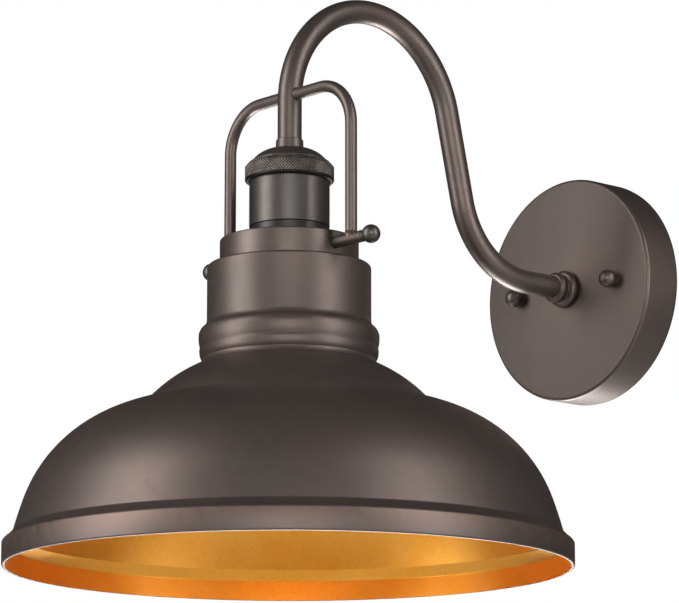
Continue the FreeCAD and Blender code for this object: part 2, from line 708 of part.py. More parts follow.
# ---------------------------------------------------------------- build, check and write
def make_all():
    wall_plate()
    wall_gasket()
    mounting_strap()
    plate_studs()
    stud_lock_nuts()
    ground_screw()
    ball_nut("ball_nut_left", -1)
    ball_nut("ball_nut_right", 1)
    arm_tube()
    arm_collar()
    arm_nipple()
    arm_fixing()
    arm_ferrule()
    socket_cap()
    knurled_ring()
    socket_body()
    lampholder()
    screw_shell()
    lamp_contacts()
    fitter_collar()
    retaining_ring()
    bail("bail_left", -1)
    bail("bail_right", 1)
    thumbscrew("thumbscrew_left", -1)
    thumbscrew("thumbscrew_right", 1)
    shade()
    shade_rivets()
    lead("hot_lead", 1)
    lead("neutral_lead", -1)
    wire_connectors()


make_all()
doc.recompute()
failed = [o.Label for o in doc.Objects if "Invalid" in o.State or "Error" in o.State]
nodes = [o for o in doc.Objects if o.TypeId in ("PartDesign::Body", "Part::Feature")
         and o.getParentGeoFeatureGroup() is None]
for node in nodes:
    shape = node.Shape
    good = not shape.isNull() and shape.isValid() and shape.Volume > 0
    print("%-18s solids %d volume %10.1f %s" % (node.Label, len(shape.Solids), shape.Volume,
                                              "" if good else "BAD"))
    if not good:
        failed.append(node.Label)
if failed:
    raise RuntimeError("failed: " + ", ".join(failed))
for node in nodes:
    node.Shape.exportStep("parts/" + node.Label + ".step")
print(len(nodes), "nodes written")
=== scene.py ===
# %% [markdown]
# # A barn-style wall lantern in oil-rubbed bronze
#
# The lantern has a round wall plate, a gooseneck arm, a socket with a knurled ring, a twin
# bail and a spun steel shade that is bronze outside and gold inside.  The engineering model
# gives every piece its place and size.  This lesson gives each one its looks.
#
# The lamp's upright axis is the line x = 0, y = -233.5 mm.  The wall is the plane y = 0.

# %% Load the engineering model
import math

import bpy
import numpy as np
from mathutils import Matrix, Vector


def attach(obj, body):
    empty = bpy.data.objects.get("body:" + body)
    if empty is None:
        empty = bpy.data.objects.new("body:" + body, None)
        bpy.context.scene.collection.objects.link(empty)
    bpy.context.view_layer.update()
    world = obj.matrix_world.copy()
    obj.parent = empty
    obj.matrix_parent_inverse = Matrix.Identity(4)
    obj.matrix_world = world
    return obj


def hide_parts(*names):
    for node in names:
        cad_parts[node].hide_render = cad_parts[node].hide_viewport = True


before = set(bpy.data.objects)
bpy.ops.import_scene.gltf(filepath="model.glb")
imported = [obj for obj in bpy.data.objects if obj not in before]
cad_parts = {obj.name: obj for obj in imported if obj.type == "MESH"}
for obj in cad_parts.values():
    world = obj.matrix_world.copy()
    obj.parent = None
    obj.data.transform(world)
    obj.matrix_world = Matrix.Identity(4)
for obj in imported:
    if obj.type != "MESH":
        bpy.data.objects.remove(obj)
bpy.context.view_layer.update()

MM = 0.001
LAMP_Y = -233.5
LAMP = (0.0, LAMP_Y, 0.0)

# %% [markdown]
# ## Small tools for node trees
#
# A material and a Geometry Nodes tree are both boxes joined by wires.  One function adds a box:
# it takes the settings of the box, and what goes into its sockets, which is either a plain
# value or another box's output.  Colours are written the way a paint shop writes them, as sRGB
# hex, and Blender's shaders count in linear light, so one function converts them.  Every
# finish opens with the same few boxes and closes with the same three, so those are shared.

# %% Node and colour helpers
def add(tree, kind, sockets=None, **settings):
    """Adds a node; sockets maps an input's name or number to a value or to an output."""
    node = tree.nodes.new(kind)
    for setting, value in settings.items():
        setattr(node, setting, value)
    for socket, value in (sockets or {}).items():
        if isinstance(value, bpy.types.NodeSocket):
            tree.links.new(value, node.inputs[socket])
        else:
            node.inputs[socket].default_value = value
    return node


def linear(code):
    """An sRGB hex colour as linear red, green, blue and a full alpha."""
    parts = [int(code[i:i + 2], 16) / 255 for i in (1, 3, 5)]
    return tuple(c / 12.92 if c < 0.04045 else ((c + 0.055) / 1.055) ** 2.4
                 for c in parts) + (1.0,)


def per_mm(size):
    """The scale that makes a noise's features about this many millimetres wide."""
    return 1.0 / (size * MM)


def new_finish(name):
    """A material with an empty tree, and the coordinates that its patterns follow."""
    material = bpy.data.materials.new(name)
    material.use_nodes = True
    tree = material.node_tree
    tree.nodes.clear()
    return material, tree, add(tree, "ShaderNodeTexCoord").outputs["Object"]


def end_finish(tree, colour, metallic, gloss, height, strength, depth_mm):
    """The bump, the shader and the output that every finish ends with."""
    bump = add(tree, "ShaderNodeBump",
               {"Height": height, "Strength": strength, "Distance": depth_mm * MM}).outputs[0]
    shader = add(tree, "ShaderNodeBsdfPrincipled",
                 {"Base Color": colour, "Metallic": metallic, "Roughness": gloss, "Normal": bump})
    add(tree, "ShaderNodeOutputMaterial", {"Surface": shader.outputs[0]})


print("bronze in linear light:", [round(c, 3) for c in linear("#645b57")])

# %% [markdown]
# ## Powder coat: bronze enamel
#
# The lantern is steel sprayed with an oil-rubbed bronze powder and baked.  The powder holds
# fine metal flake, so the skin is a satin half-metal: dark brown, a little redder where it is
# thick, with the soft dimples that a baked powder keeps, called orange peel.  It could be one
# flat colour with a shine.  Noise at three sizes is better, because the eye reads the broad
# one as uneven spraying, the middle one as hand rubbing and the fine one as the dimples.
#
# The meshes carry an attribute that is 1 on a sharp outer edge and 0 elsewhere.  The finish
# reads it to let a little warm metal through where hands and cloths wear it.  On the knurled
# ring the same attribute is 1 on the points, and there it paints a pale highlight.

# %% The powder coat
def powder_coat(name, base, warm, metallic, roughness, bare_and_highlight="#8f7466", wear_and_highlight=1.0, peel=0.05):
    """Baked bronze powder.  base and warm are its two tones.  The third colour is the metal that
    shows where the coat has gone from an edge, and on the knurled ring it is a pale painted
    highlight on the points.  A dimple is 1.3 mm wide, a little coarser than the real 0.8 mm, to show."""
    material, tree, place = new_finish(name)
    broad = add(tree, "ShaderNodeTexNoise",
                {"Vector": place, "Scale": per_mm(45), "Detail": 3.0}).outputs[0]
    tone = add(tree, "ShaderNodeMapRange",
               {0: broad, 1: 0.35, 2: 0.65, 3: 0.0, 4: 1.0}).outputs[0]
    skin = add(tree, "ShaderNodeMix", {0: tone, 6: linear(base), 7: linear(warm)},
               data_type="RGBA").outputs[2]
    rubbing = add(tree, "ShaderNodeTexNoise",
                  {"Vector": place, "Scale": per_mm(5), "Detail": 4.0}).outputs[0]
    rub_and_highlight = add(tree, "ShaderNodeAttribute", attribute_name="rub_and_highlight").outputs["Fac"]
    patchy = add(tree, "ShaderNodeMapRange",
                 {0: rubbing, 1: 0.3, 2: 0.7, 3: 0.3 * wear_and_highlight, 4: 0.8 * wear_and_highlight}).outputs[0]
    shown = add(tree, "ShaderNodeMath", {0: rub_and_highlight, 1: patchy}, operation="MULTIPLY").outputs[0]
    skin_with_wear_and_highlight = add(tree, "ShaderNodeMix", {0: shown, 6: skin, 7: linear(bare_and_highlight)},
               data_type="RGBA").outputs[2]
    gloss = add(tree, "ShaderNodeMapRange",
                {0: rubbing, 1: 0.3, 2: 0.7, 3: roughness - 0.02, 4: roughness + 0.03}).outputs[0]
    dimples = add(tree, "ShaderNodeTexNoise",
                  {"Vector": place, "Scale": per_mm(1.3), "Detail": 2.0}).outputs[0]
    end_finish(tree, skin_with_wear_and_highlight, metallic, gloss, dimples, peel, 0.3)
    return material


bronze_enamel = powder_coat("powder_coated_bronze", "#645b57", "#6b5e58", 0.82, 0.42)
shade_enamel = powder_coat("powder_coated_shade", "#645a56", "#6a5d57", 0.82, 0.46)
bronze_metal = powder_coat("blackened_brass", "#5b5754", "#5f5a55", 0.90, 0.42, peel=0.02)
# The knurled ring's finish: a near-black base that paints shade into the grooves, and a pale tone that
# paints a highlight on the points.
knurled_metal = powder_coat("knurl_painted_highlight_and_shade", "#2c2927", "#302c29", 0.90, 0.40,
                            bare_and_highlight="#b0a69d", wear_and_highlight=1.3, peel=0.02)
print("powder coats:", [m.name for m in (bronze_enamel, shade_enamel, bronze_metal, knurled_metal)])

# %% [markdown]
# ## Gold lacquer inside the shade
#
# The inside is sprayed with a gold lacquer full of coarse flake.  It lights up in orange where
# it is seen at a slant and in yellow where it faces the lamp.  A Voronoi texture gives each
# flake its own tilt through the bump, which makes the fine sparkle, and its own small change of
# tone.  A real flake is about 0.1 mm; it is drawn 0.9 mm wide so that it shows.

# %% The gold lacquer
def gold_lacquer(name, deep, bright):
    """Gold lacquer between two tones, each flake with a tone, a shine and a tilt of its own."""
    material, tree, place = new_finish(name)
    flakes = add(tree, "ShaderNodeTexVoronoi", {"Vector": place, "Scale": per_mm(0.9)})
    flake = add(tree, "ShaderNodeSeparateColor", {0: flakes.outputs["Color"]}).outputs
    cloud = add(tree, "ShaderNodeTexNoise",
                {"Vector": place, "Scale": per_mm(30), "Detail": 2.0}).outputs[0]
    own_tone = add(tree, "ShaderNodeMath", {0: flake[0], 1: 0.25}, operation="MULTIPLY").outputs[0]
    tone = add(tree, "ShaderNodeMath", {0: own_tone, 1: cloud}, operation="ADD").outputs[0]
    level = add(tree, "ShaderNodeMapRange", {0: tone, 1: 0.35, 2: 0.95, 3: 0.0, 4: 1.0}).outputs[0]
    skin = add(tree, "ShaderNodeMix", {0: level, 6: linear(deep), 7: linear(bright)},
               data_type="RGBA").outputs[2]
    gloss = add(tree, "ShaderNodeMapRange",
                {0: flake[1], 1: 0.0, 2: 1.0, 3: 0.34, 4: 0.50}).outputs[0]
    end_finish(tree, skin, 0.95, gloss, flake[2], 0.08, 0.2)
    return material


gold = gold_lacquer("gold_lacquer", "#f2a637", "#fcbc58")
print("inside finish:", gold.name)

# %% [markdown]
# ## The plainer finishes
#
# Brass, zinc-plated steel, moulded phenolic, rubber, PVC wire covering and nylon are all a
# colour, a shine and a grain.  One recipe makes them: a broad noise moves the colour, and a
# fine one moves the shine and the bump together.  Stretching the fine one along one direction
# gives the drawn grain of a rolled metal, and leaving it round gives a moulded skin.

# %% Metals, plastics and rubber
SHINE_DRIFT = 0.04


def stock(name, base, other, metallic, roughness, grain_mm, stretch=(1, 1, 1), depth=0.04):
    """A stock material between two tones, with a grain of grain_mm and a bump of depth."""
    material, tree, place = new_finish(name)
    turned_grain = add(tree, "ShaderNodeMapping", {"Vector": place, "Scale": stretch}).outputs[0]
    grain = add(tree, "ShaderNodeTexNoise",
                {"Vector": turned_grain, "Scale": per_mm(grain_mm), "Detail": 4.0}).outputs[0]
    cloud = add(tree, "ShaderNodeTexNoise",
                {"Vector": place, "Scale": per_mm(12), "Detail": 2.0}).outputs[0]
    skin = add(tree, "ShaderNodeMix", {0: cloud, 6: linear(base), 7: linear(other)},
               data_type="RGBA").outputs[2]
    gloss = add(tree, "ShaderNodeMapRange", {0: grain, 1: 0.3, 2: 0.7, 3: roughness - SHINE_DRIFT,
                                             4: roughness + SHINE_DRIFT}).outputs[0]
    end_finish(tree, skin, metallic, gloss, grain, depth, 0.2)
    return material


brass = stock("drawn_brass", "#c9a24e", "#b98d3f", 1.0, 0.28, 0.8, (1, 1, 0.1), 0.08)
zinc_steel = stock("zinc_plated_steel", "#b9bcc0", "#9da2a8", 1.0, 0.36, 1.0, (0.15, 1, 1), 0.06)
green_zinc = stock("green_passivated_screw", "#3f7a4c", "#2f6a40", 0.8, 0.38, 1.0)
rubber = stock("black_rubber", "#1d1d1e", "#262627", 0.0, 0.72, 0.7, depth=0.12)
phenolic = stock("black_phenolic", "#1b1918", "#231f1c", 0.0, 0.38, 1.2, depth=0.03)
black_wire = stock("black_wire_covering", "#161617", "#202022", 0.0, 0.45, 0.9)
white_wire = stock("white_wire_covering", "#dcdad2", "#cfccc2", 0.0, 0.45, 0.9)
nylon = stock("connector_nylon", "#c9762c", "#bd6a24", 0.0, 0.42, 1.0, depth=0.06)
print("stock finishes:", [m.name for m in (brass, zinc_steel, green_zinc, rubber, phenolic,
                                           black_wire, white_wire, nylon)])

# %% [markdown]
# ## From a drawing to a fine outline
#
# A turner's drawing gives a few corners and the arcs between them.  The mesh needs many small
# steps.  outline() walks the drawing, cuts each arc into short chords and breaks every hard
# corner with a tiny round, because no pressed or turned edge is perfectly sharp and it is the
# little round that catches the light.  On both sides of the round it leaves a close
# neighbour, so that the flat faces stay flat to the eye under smooth shading.

# %% Outlines
ARC_STEP = math.radians(7)
SHARP = 25
ROUNDED = 7


def arc_steps(start, end, radius, side, longest):
    """Points after start up to end on an arc; side is +1 where it turns left."""
    (ax, ay), (bx, by) = start, end
    chord = math.hypot(bx - ax, by - ay)
    height = math.sqrt(max(0.0, radius * radius - chord * chord / 4))
    cx = (ax + bx) / 2 - side * height * (by - ay) / chord
    cy = (ay + by) / 2 + side * height * (bx - ax) / chord
    first = math.atan2(ay - cy, ax - cx)
    sweep = (math.atan2(by - cy, bx - cx) - first) % (2 * math.pi)
    if side < 0:
        sweep -= 2 * math.pi
    count = max(2, math.ceil(abs(sweep) / ARC_STEP), math.ceil(abs(sweep) * radius / longest))
    return [(cx + radius * math.cos(first + sweep * i / count),
             cy + radius * math.sin(first + sweep * i / count)) for i in range(1, count + 1)]


def along_drawing(corners, longest=6.0, split=False):
    """Every point of a drawing; a corner is (x, y) or (x, y, radius, side of its arc)."""
    points = [tuple(corners[0][:2])]
    for corner in corners[1:]:
        start, end = points[-1], tuple(corner[:2])
        if len(corner) == 4:
            points += arc_steps(start, end, corner[2], corner[3], longest)
        elif split:
            count = max(1, math.ceil(math.dist(start, end) / longest))
            points += [tuple(np.array(start) + (np.array(end) - start) * i / count)
                       for i in range(1, count + 1)]
        else:
            points.append(end)
    return points


def break_corners(points, size):
    """Makes each corner that turns more than SHARP degrees a round of ROUNDED points: five
    on the round itself and a close neighbour on each side."""
    result = []
    total = len(points)
    for i, point in enumerate(points):
        here = np.array(point)
        before = np.array(points[i - 1]) - here
        after = np.array(points[(i + 1) % total]) - here
        reach_b, reach_a = np.linalg.norm(before), np.linalg.norm(after)
        turn = math.degrees(math.acos(max(-1, min(1, -before @ after / (reach_b * reach_a)))))
        if turn < SHARP or abs(point[0]) < 1e-6:
            result.append(point)
            continue
        before, after = before / reach_b, after / reach_a
        cut = min(size, 0.3 * reach_b, 0.3 * reach_a)
        result.append(tuple(here + before * cut * 1.4))
        for t in (0.0, 0.3, 0.5, 0.7, 1.0):
            result.append(tuple(here + before * cut * (1 - t) ** 2 + after * cut * t ** 2))
        result.append(tuple(here + after * cut * 1.4))
    return result


def outline(corners, size=0.3):
    """A closed drawing as a closed ring of points with broken corners."""
    return break_corners(along_drawing(corners), size)


print("a square with broken corners has", len(outline([(1, 0), (9, 0), (9, 8), (1, 8)])), "points")

# %% [markdown]
# ## Turning
#
# Most of the lantern is round: the shade is spun on a lathe, the cap and plate are pressed, and
# the nuts are turned from bar.  Blender can make such a piece with a Screw modifier, or with
# Spin in edit mode.  Here the rings are laid by hand, because then the poles close to a single
# point, the faces are told apart by where they lie on the outline, and the rub attribute can be
# worked out from how sharply the surface bends outwards.

# %% Turned pieces
AXES = {"Z": ((1, 0, 0), (0, 1, 0), (0, 0, 1)), "Y": ((1, 0, 0), (0, 0, 1), (0, 1, 0)),
        "X": ((0, 1, 0), (0, 0, 1), (1, 0, 0))}
WEAR_START, WEAR_SPAN = 0.10, 0.15


def new_piece(name, verts, faces, materials, slots):
    """An object at the origin from points in millimetres, its faces turned outwards."""
    mesh = bpy.data.meshes.new(name)
    mesh.from_pydata([tuple(np.array(v) * MM) for v in verts], [], faces)
    for material in materials:
        mesh.materials.append(material)
    mesh.polygons.foreach_set("material_index", slots)
    mesh.polygons.foreach_set("use_smooth", [True] * len(mesh.polygons))
    mesh.update()
    if signed_volume(mesh) < 0:
        mesh.flip_normals()
    obj = bpy.data.objects.new(name, mesh)
    bpy.context.scene.collection.objects.link(obj)
    return obj


def signed_volume(mesh):
    """Positive where a closed mesh's faces point outwards."""
    mesh.calc_loop_triangles()
    co = np.empty(len(mesh.vertices) * 3)
    mesh.vertices.foreach_get("co", co)
    co = co.reshape(-1, 3)
    tri = np.empty(len(mesh.loop_triangles) * 3, int)
    mesh.loop_triangles.foreach_get("vertices", tri)
    a, b, c = (co[tri.reshape(-1, 3)[:, k]] for k in range(3))
    return float(np.einsum("ij,ij->i", a, np.cross(b, c)).sum() / 6)


def wear_edges(obj):
    """Writes the rub attribute: how sharply the skin bends outwards at each point.  It
    starts at a slope of WEAR_START and is full WEAR_SPAN later."""
    mesh = obj.data
    co = np.empty(len(mesh.vertices) * 3)
    mesh.vertices.foreach_get("co", co)
    co = co.reshape(-1, 3)
    normal = np.empty(len(mesh.vertices) * 3)
    mesh.vertices.foreach_get("normal", normal)
    normal = normal.reshape(-1, 3)
    ends = np.empty(len(mesh.edges) * 2, int)
    mesh.edges.foreach_get("vertices", ends)
    ends = ends.reshape(-1, 2)
    bend = np.zeros(len(co))
    for near, far in ((0, 1), (1, 0)):
        step = co[ends[:, near]] - co[ends[:, far]]
        length = np.maximum(np.linalg.norm(step, axis=1), 1e-9)
        slope = np.einsum("ij,ij->i", step, normal[ends[:, near]]) / length
        np.maximum.at(bend, ends[:, near], slope)
    rub_and_highlight = mesh.attributes.new("rub_and_highlight", "FLOAT", "POINT")
    skin_with_wear_and_highlight = np.clip((bend - WEAR_START) / WEAR_SPAN, 0, 1)
    rub_and_highlight.data.foreach_set("value", skin_with_wear_and_highlight.astype(np.float32))
    return obj


def turned(name, points, materials, centre=LAMP, axis="Z", steps=96, inside=None):
    """A piece turned from a closed outline of (radius, height) points.  inside(i) says
    which runs of the outline take the second material."""
    u, w, up = (np.array(v, float) for v in AXES[axis])
    middle = np.array(centre, float)
    verts, rings = [], []
    for radius, height in points:
        if radius < 1e-6:
            rings.append([len(verts)] * steps)
            verts.append(middle + up * height)
            continue
        rings.append(list(range(len(verts), len(verts) + steps)))
        for j in range(steps):
            angle = 2 * math.pi * j / steps
            verts.append(middle + up * height
                         + radius * (u * math.cos(angle) + w * math.sin(angle)))
    faces, slots = [], []
    for i, ring in enumerate(rings):
        after = rings[(i + 1) % len(rings)]
        for j in range(steps):
            k = (j + 1) % steps
            face = list(dict.fromkeys([ring[j], ring[k], after[k], after[j]]))
            if len(face) > 2:
                faces.append(face)
                slots.append(1 if inside and inside(i) else 0)
    return wear_edges(new_piece(name, verts, faces, materials, slots))


def place(obj, body, slot, *nodes):
    """Puts a finished piece on its body in place of the plain solids it stands for."""
    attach(obj, body)
    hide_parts(*nodes)
    print(obj.name, "faces:", len(obj.data.polygons))


print("turning lathe ready, axes:", sorted(AXES))

# %% [markdown]
# ## The shade
#
# The shade is one disc of steel spun over a former: a straight neck, a fat bead under it, a
# flaring bell, a fine ridge where the former changed, a dome and a short straight rim.  Its
# skin is 1.2 mm all the way.  A sphere cut in half would miss every one of these steps, so the
# whole outline is drawn, down the outside and back up the inside, and turned.  The outside
# takes the bronze powder and the inside, from just within the rim, the gold lacquer.

# %% The spun shade
SKIN = 1.2
RIM_FOOT, NECK_UNDER, NECK_EDGE = -177.3, -17.4, 41.9


def skin_line(t):
    """The outline from neck to ridge, moved in by t."""
    return [
        (43.6 - t, -46.4),
        (46.3 - t, -50.6, 5.5, 1),
        (47.9 - t, -55.6, 6.5, -1),
        (47.1 - t, -60.8, 14, -1),
        (47.4 - t, -63.6, 4.5, -1),
        (46.2 - t, -67.2, 6, -1),
        (50.9 - t, -71.9 - t, 5.2, 1),
        (76.8 - 0.6 * t, -92.1 - 0.8 * t, 80, -1),
    ]


def walked_back(line):
    """The same line from its end to its start, with each arc's side changed."""
    ends = [corner[:2] for corner in line]
    arcs = [tuple(corner[2:]) for corner in line[1:]]
    back = [ends[-1]]
    for end, arc in zip(reversed(ends[:-1]), reversed(arcs)):
        back.append(end + ((arc[0], -arc[1]) if arc else ()))
    return back


outside = [(37.2, -16.4), (42.1, -16.4), (43.6, -17.9, 1.5, -1)] + skin_line(0.0) + [
    (78.8, -92.7), (138.7, -143.2, 76.5, -1), (144.0, -160.5, 255, -1), (147.9, -164.4),
    (149.5, -166.0, 2.6, -1), (149.5, -176.5), (148.5, -177.5, 1.0, -1), (147.6, -177.5)]
within = [(147.6, -166.3), (146.9, -165.3), (142.7, -160.9), (137.57, -143.6, 253.7, 1),
          (78.6, -94.05, 75.3, 1)] + walked_back(skin_line(SKIN)) + [
    (42.4, -17.9), (42.1, -17.6, 0.3, 1), (37.2, -17.6)]
shade_points = break_corners(along_drawing(outside + within, 2.0), 0.35)
# The gold starts just past the rim's foot and ends at the round under the neck's top.
gold_start = max(i for i, (r, z) in enumerate(shade_points) if z < RIM_FOOT) + 1
gold_end = max(i for i, (r, z) in enumerate(shade_points) if z < NECK_UNDER and r > NECK_EDGE)
shade = turned("spun_shade", shade_points, [shade_enamel, gold], steps=192,
               inside=lambda i: gold_start <= i <= gold_end)
place(shade, "fixture", "shade_enamel", "shade")

# %% [markdown]
# ## The collar that carries the shade
#
# A pressed cup sits on top of the shade, and its turned-out foot is riveted to the shade's top
# from below.  The thumbscrews pass into its side.  It is turned from one outline.

# %% The fitter collar
fitter = turned("fitter_collar_cup", outline([
    (20.0, -2.4), (36.0, -2.4), (37.0, -3.4, 1.0, -1), (37.0, -17.6), (42.0, -17.6),
    (42.0, -19.1), (35.5, -19.1), (35.5, -3.9), (20.0, -3.9)]), [bronze_enamel], steps=144)
place(fitter, "fixture", "bronze_enamel", "fitter_collar")

# %% [markdown]
# ## The wall plate
#
# The plate is a deep pressed dish with a 2 mm round at its front edge and a hole in the middle
# for the arm's threaded end.  It is the same turning, about an axis that is square to the wall.

# %% The wall plate
plate = turned("pressed_wall_plate", outline([
    (5.2, -24.1), (62.0, -24.1), (64.0, -22.1, 2.0, 1), (64.0, -1.2), (62.5, -1.2),
    (62.5, -22.1), (62.0, -22.6, 0.5, -1), (5.2, -22.6)], size=0.2),
    [bronze_enamel], centre=(0, 0, 0), axis="Y", steps=160)
place(plate, "fixture", "bronze_enamel", "wall_plate")

# %% [markdown]
# ## Beads, cap and shell
#
# The collar at the arm's foot has two round beads.  The ferrule, cap and socket shell are thin
# turned metal.  Each has its own outline, in millimetres, read as (radius, height).

# %% The turned trim of the arm and socket
beads = turned("arm_bead_collar", outline([
    (5.1, -24.1), (8.0, -24.1), (8.0, -29.3, 2.6, -1), (7.8, -29.6), (7.8, -30.5),
    (6.75, -30.7), (6.75, -35.9, 2.71, -1), (6.55, -35.9), (6.55, -26.1), (5.1, -26.1)],
    size=0.12), [bronze_enamel], centre=(0, 0, 0), axis="Y", steps=96)
place(beads, "fixture", "bronze_enamel", "arm_collar")
ferrule = turned("arm_end_ferrule", outline([
    (6.55, 47.7), (7.55, 47.7), (7.3, 52.5), (6.9, 52.9, 0.4, 1), (6.55, 52.9)], size=0.12),
    [bronze_enamel], steps=96)
place(ferrule, "fixture", "bronze_enamel", "arm_ferrule")
cap = turned("domed_socket_cap", outline([
    (6.6, 47.7), (8.0, 47.7), (20.2, 41.0, 17.0, -1), (20.2, 39.3), (21.35, 39.3),
    (21.35, 37.8), (18.9, 37.8), (18.9, 40.7), (8.0, 46.4, 15.7, 1), (6.6, 46.4)]),
    [bronze_enamel], steps=128)
place(cap, "fixture", "bronze_enamel", "socket_cap")
shell = turned("smooth_socket_shell", outline([
    (20.4, 4.8), (21.1, 4.8), (21.5, 5.2, 0.4, 1), (21.5, 37.7), (20.4, 37.7)], size=0.15),
    [bronze_metal], steps=128)
place(shell, "fixture", "bronze_metal", "socket_body")
holder = turned("moulded_lampholder", outline([
    (0, 36), (20.35, 36), (20.35, 4.7), (20.9, 4.7), (20.9, -2.4), (19.9, -2.4),
    (19.9, -14), (14.6, -14), (14.6, 16), (0, 16)]), [phenolic], steps=128)
place(holder, "fixture", "black_phenolic", "lampholder")
clamp = turned("lampholder_clamp_ring", outline([
    (19.95, -3.9), (26.5, -3.9), (26.5, -7.6), (25.7, -8.4, 0.8, -1), (19.95, -8.4)]),
    [phenolic], steps=128)
place(clamp, "fixture", "black_phenolic", "retaining_ring")

# %% [markdown]
# ## Geometry Nodes: asking a tree for a mesh
#
# A Geometry Nodes tree is a recipe that can be run on any mesh.  Its inputs are set on the
# modifier by the socket's identifier.  Once the recipe has run, the result is copied into a
# plain mesh and the modifier is thrown away, so that what is left is an ordinary piece.

# %% Running a tree
def new_tree(name, inputs):
    """A tree with a geometry input and named inputs, each (name, socket type, value)."""
    tree = bpy.data.node_groups.new(name, "GeometryNodeTree")
    tree.is_modifier = True
    tree.interface.new_socket("Geometry", in_out="INPUT", socket_type="NodeSocketGeometry")
    for title, kind, value in inputs:
        socket = tree.interface.new_socket(title, in_out="INPUT", socket_type=kind)
        if value is not None:
            socket.default_value = value
    tree.interface.new_socket("Geometry", in_out="OUTPUT", socket_type="NodeSocketGeometry")
    return tree, add(tree, "NodeGroupInput").outputs


def end_tree(tree, geometry, material):
    """Realizes instances, sets the material and joins the tree's output."""
    real = add(tree, "GeometryNodeRealizeInstances", {"Geometry": geometry}).outputs[0]
    painted = add(tree, "GeometryNodeSetMaterial", {"Geometry": real, "Material": material})
    add(tree, "NodeGroupOutput", {0: painted.outputs[0]})


def run_tree(obj, tree, **values):
    """Runs a tree on an object and keeps only the plain mesh that comes out."""
    modifier = obj.modifiers.new("recipe", "NODES")
    modifier.node_group = tree
    for item in tree.interface.items_tree:
        if item.in_out == "INPUT" and item.name in values:
            modifier[item.identifier] = values[item.name]
    bpy.context.view_layer.update()
    graph = bpy.context.evaluated_depsgraph_get()
    mesh = bpy.data.meshes.new_from_object(obj.evaluated_get(graph))
    obj.modifiers.clear()
    old, obj.data = obj.data, mesh
    mesh.name = obj.name
    bpy.data.meshes.remove(old)


print("geometry tree helpers ready")

# %% [markdown]
# ## The knurled ring
#
# Knurling is rolled into a turned ring by two wheels with slanted teeth.  Their two sets of
# grooves cross and leave rows of small four-sided points.  It could be faked with a bump, but
# then the ring's outline would stay smooth.  The tree below moves the surface itself: at each
# point it works out how far the nearest groove of either set is, and takes the shallower of the
# two, which is the rule of a crossed knurl.  With 92 points round the ring and lines that lean
# 45 degrees, each point is 1.6 mm wide.  The tree also writes the attribute that the finish
# reads for edge wear, 1 on the points and 0 in the grooves: on the points it paints a pale
# highlight, and the grooves keep the finish's near-black base, which is painted shade.

# %% The knurling tree
KNURL_POINTS = 92


